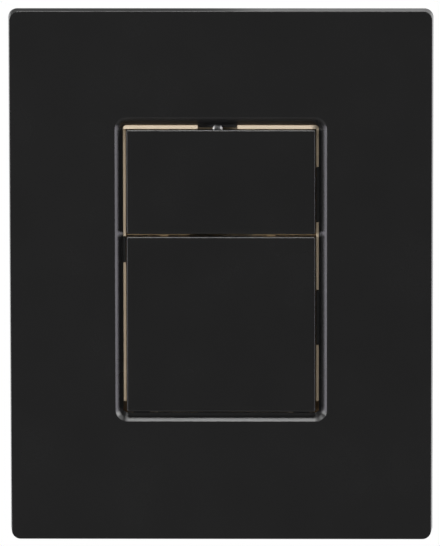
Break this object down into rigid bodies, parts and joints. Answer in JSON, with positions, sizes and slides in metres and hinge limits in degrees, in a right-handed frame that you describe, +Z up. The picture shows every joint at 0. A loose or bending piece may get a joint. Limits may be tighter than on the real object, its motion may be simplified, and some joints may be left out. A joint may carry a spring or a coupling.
{
  "type": "flush button plate",
  "caption": "Black wall plate for a concealed cistern, with a small and a full flush button hinged in a bevelled window, sprung push rods behind them, and studs with nuts to fix it.",
  "frame": {"origin": "middle of the plate's outline, in the plane of the wall that its rim meets", "axes": "+X right and +Z up seen from the front, +Y into the wall"},
  "size_m": [0.156, 0.071, 0.197],
  "materials": {
    "plate_black": "satin",
    "button_black": "satin",
    "cream_plastic": "matt",
    "white_plastic": "matt",
    "grey_plastic": "matt",
    "steel": "zinc plated",
    "spring_steel": "drawn wire",
    "rubber": "matt"
  },
  "bodies": {
    "housing": {"front_plate": "plate_black", "button_carrier": "cream_plastic", "small_button_pins": "steel", "full_button_pins": "steel", "small_rod_spring": "spring_steel", "full_rod_spring": "spring_steel", "button_stop_pads": "rubber", "locking_screw": "steel", "carrier_screws": "steel", "mounting_frame": "grey_plastic", "fixing_stud_left": "steel", "fixing_stud_right": "steel", "thumb_nut_left": "white_plastic", "thumb_nut_right": "white_plastic"},
    "small_button": {"small_flush_button": "button_black"},
    "full_button": {"full_flush_button": "button_black"},
    "small_rod": {"small_push_rod": "white_plastic", "small_rod_head": "white_plastic", "small_rod_clip": "steel"},
    "full_rod": {"full_push_rod": "white_plastic", "full_rod_head": "white_plastic", "full_rod_clip": "steel"}
  },
  "joints": [
    {"name": "small_button_hinge", "type": "hinge", "parent": "housing", "child": "small_button", "pos_m": [0, -0.0032, 0.05195], "axis": [1, 0, 0], "range_deg": [0, 8], "stiffness_Nm_per_rad": 0.93, "springref_deg": -10.31},
    {"name": "full_button_hinge", "type": "hinge", "parent": "housing", "child": "full_button", "pos_m": [0, -0.0032, 0.0122], "axis": [1, 0, 0], "range_deg": [0, 6], "stiffness_Nm_per_rad": 2.4, "springref_deg": -6.3},
    {"name": "small_rod_slide", "type": "slide", "parent": "housing", "child": "small_rod", "axis": [0, 1, 0], "range_m": [0, 0.00395], "deforming": ["small_rod_spring"]},
    {"name": "full_rod_slide", "type": "slide", "parent": "housing", "child": "full_rod", "axis": [0, 1, 0], "range_m": [0, 0.0048], "deforming": ["full_rod_spring"]}
  ],
  "couplings": [
    {"joint": "small_rod_slide", "follows": "small_button_hinge", "m_per_rad": 0.028},
    {"joint": "full_rod_slide", "follows": "full_button_hinge", "m_per_rad": 0.045}
  ]
}
